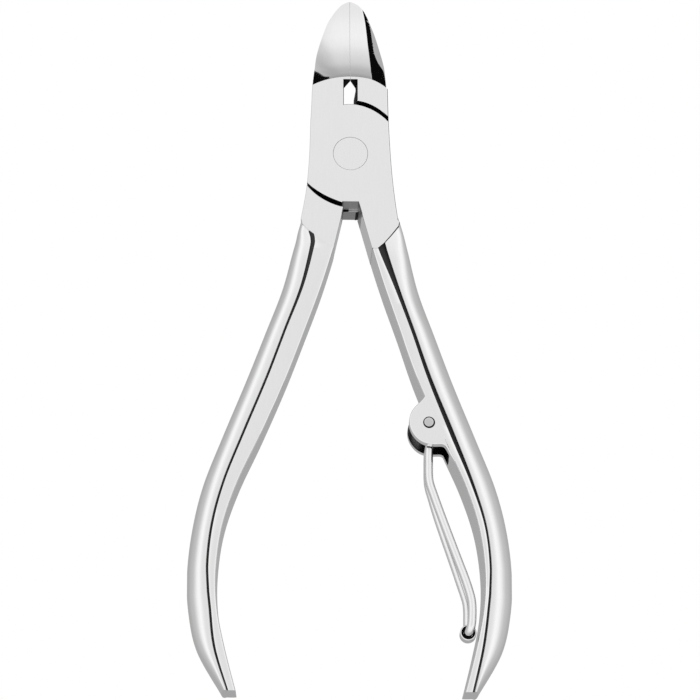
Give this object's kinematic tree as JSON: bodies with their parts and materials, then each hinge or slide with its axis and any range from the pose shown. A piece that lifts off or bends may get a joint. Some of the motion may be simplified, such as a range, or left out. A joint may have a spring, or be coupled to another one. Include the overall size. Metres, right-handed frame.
{
  "type": "nail nippers",
  "caption": "Lap-joint nail nippers with pointed hollow-ground jaws, bowed ribbed handles and a fold-away wire spring with a roller.",
  "frame": {"origin": "on the pivot axis, at the joint's back face, which the tool lies on", "axes": "+Y towards the tip of the jaws, +Z out of the front face, +X to the right seen from the front"},
  "size_m": [0.0572, 0.1292, 0.0096],
  "materials": {
    "polished_lever": "mirror-polished nickel-chrome plated steel with darker unpolished creases",
    "rivet_steel": "ground and polished flush with the joint faces",
    "pin_steel": "satin cut end",
    "spring_wire": "bright drawn spring wire",
    "roller_steel": "bright rolled tube"
  },
  "bodies": {
    "front_lever": {"front_lever": "polished_lever", "joint_rivet": "rivet_steel", "spring_pin": "pin_steel"},
    "back_lever": {"back_lever": "polished_lever"},
    "wire_spring": {"wire_spring": "spring_wire"},
    "spring_roller": {"spring_roller": "roller_steel"}
  },
  "joints": [
    {"name": "jaw_hinge", "type": "hinge", "parent": "front_lever", "child": "back_lever", "pos_m": [0, 0, 0.0048], "axis": [0, 0, -1], "range_deg": [0, 32]},
    {"name": "spring_swing", "type": "hinge", "parent": "front_lever", "child": "wire_spring", "pos_m": [0.0139, -0.04985, 0.0048], "axis": [0, 0, -1], "range_deg": [0, 71]},
    {"name": "roller_spin", "type": "hinge", "parent": "wire_spring", "child": "spring_roller", "pos_m": [0.0208, -0.08735, 0.0048], "axis": [0, 0, 1], "continuous": true}
  ]
}
